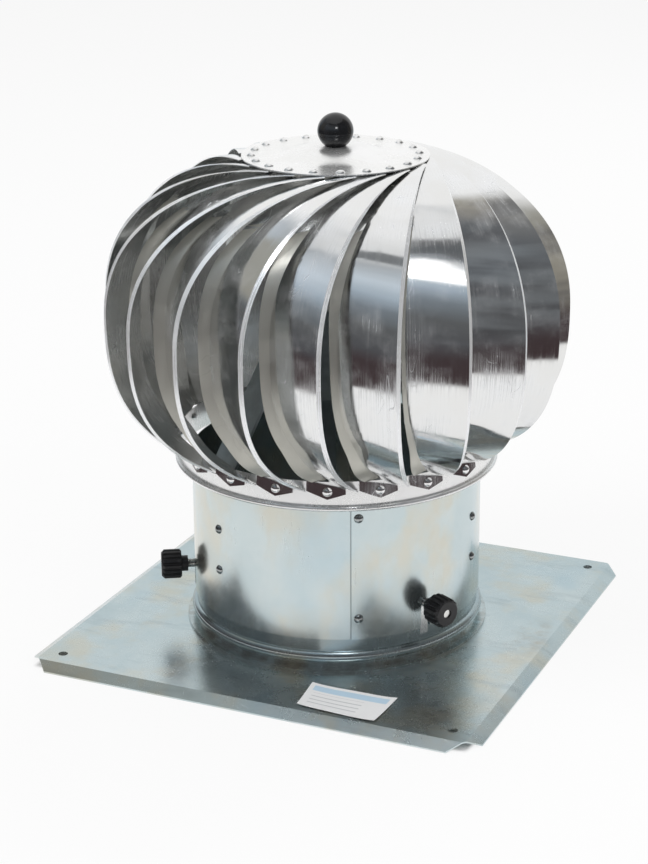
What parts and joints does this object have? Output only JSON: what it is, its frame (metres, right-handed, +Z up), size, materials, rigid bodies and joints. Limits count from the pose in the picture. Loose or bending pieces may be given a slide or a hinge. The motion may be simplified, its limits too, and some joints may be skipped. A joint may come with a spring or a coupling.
{
  "type": "rotary chimney cowl",
  "caption": "Wind-driven chimney cowl: a globe of overlapping curved metal vanes spinning on a round neck over a square flashing plate, with thumb screws clamping the neck.",
  "frame": {"origin": "on the rotor's axis, in the plane of the base plate's lower edges", "axes": "+Z up along the rotor's axis, X and Y along the base plate's sides"},
  "size_m": [0.325, 0.325, 0.3619],
  "materials": {
    "galvanised_sheet": "galvanised, soft gloss, mottled",
    "galvanised_arm": "galvanised strip, dull",
    "zinc_steel": "zinc plated",
    "bright_steel": "ground steel",
    "rivet_aluminium": "bright, domed",
    "vane_aluminium": "polished with fine rolling lines",
    "plain_aluminium": "mill finish",
    "knob_plastic": "moulded, ribbed",
    "ball_plastic": "moulded, glossy"
  },
  "bodies": {
    "base": {"base_plate": "galvanised_sheet", "base_collar": "galvanised_sheet", "clamp_nuts": "zinc_steel"},
    "head": {"neck_tube": "galvanised_sheet", "seam_rivets": "rivet_aluminium", "arm_rivets": "rivet_aluminium", "bearing_arm_1": "galvanised_arm", "bearing_arm_2": "galvanised_arm", "bearing_arm_3": "galvanised_arm", "bearing_housing": "zinc_steel", "housing_bolts": "zinc_steel", "housing_nuts": "zinc_steel", "lower_bearing_outer": "bright_steel", "upper_bearing_outer": "bright_steel"},
    "rotor": {"rotor_shaft": "bright_steel", "lower_bearing_inner": "bright_steel", "upper_bearing_inner": "bright_steel", "bearing_spacer": "bright_steel", "shaft_lock_nut": "zinc_steel", "disc_washer": "zinc_steel", "disc_nut": "zinc_steel", "top_disc": "plain_aluminium", "ball_knob": "ball_plastic", "disc_rivets": "rivet_aluminium", "bottom_ring": "plain_aluminium", "foot_rivets": "rivet_aluminium", "vane_01": "vane_aluminium", "vane_02": "vane_aluminium", "vane_03": "vane_aluminium", "vane_04": "vane_aluminium", "vane_05": "vane_aluminium", "vane_06": "vane_aluminium", "vane_07": "vane_aluminium", "vane_08": "vane_aluminium", "vane_09": "vane_aluminium", "vane_10": "vane_aluminium", "vane_11": "vane_aluminium", "vane_12": "vane_aluminium", "vane_13": "vane_aluminium", "vane_14": "vane_aluminium", "vane_15": "vane_aluminium", "vane_16": "vane_aluminium", "vane_17": "vane_aluminium", "vane_18": "vane_aluminium", "vane_19": "vane_aluminium", "vane_20": "vane_aluminium"},
    "thumb_screw_1": {"screw_stud_1": "bright_steel", "screw_knob_1": "knob_plastic"},
    "thumb_screw_2": {"screw_stud_2": "bright_steel", "screw_knob_2": "knob_plastic"},
    "thumb_screw_3": {"screw_stud_3": "bright_steel", "screw_knob_3": "knob_plastic"}
  },
  "joints": [
    {"name": "head_lift", "type": "slide", "parent": "base", "child": "head", "axis": [0, 0, 1], "range_m": [0, 0.05]},
    {"name": "thumb_screw_1_turn", "type": "hinge", "parent": "base", "child": "thumb_screw_1", "pos_m": [0.09526, -0.055, 0.046], "axis": [0.866, -0.5, 0], "range_deg": [-360, 360]},
    {"name": "thumb_screw_2_turn", "type": "hinge", "parent": "base", "child": "thumb_screw_2", "pos_m": [0, 0.11, 0.046], "axis": [0, 1, 0], "range_deg": [-360, 360]},
    {"name": "thumb_screw_3_turn", "type": "hinge", "parent": "base", "child": "thumb_screw_3", "pos_m": [-0.09526, -0.055, 0.046], "axis": [-0.866, -0.5, 0], "range_deg": [-360, 360]},
    {"name": "rotor_spin", "type": "hinge", "parent": "head", "child": "rotor", "pos_m": [0, 0, 0.25], "axis": [0, 0, 1], "continuous": true}
  ]
}
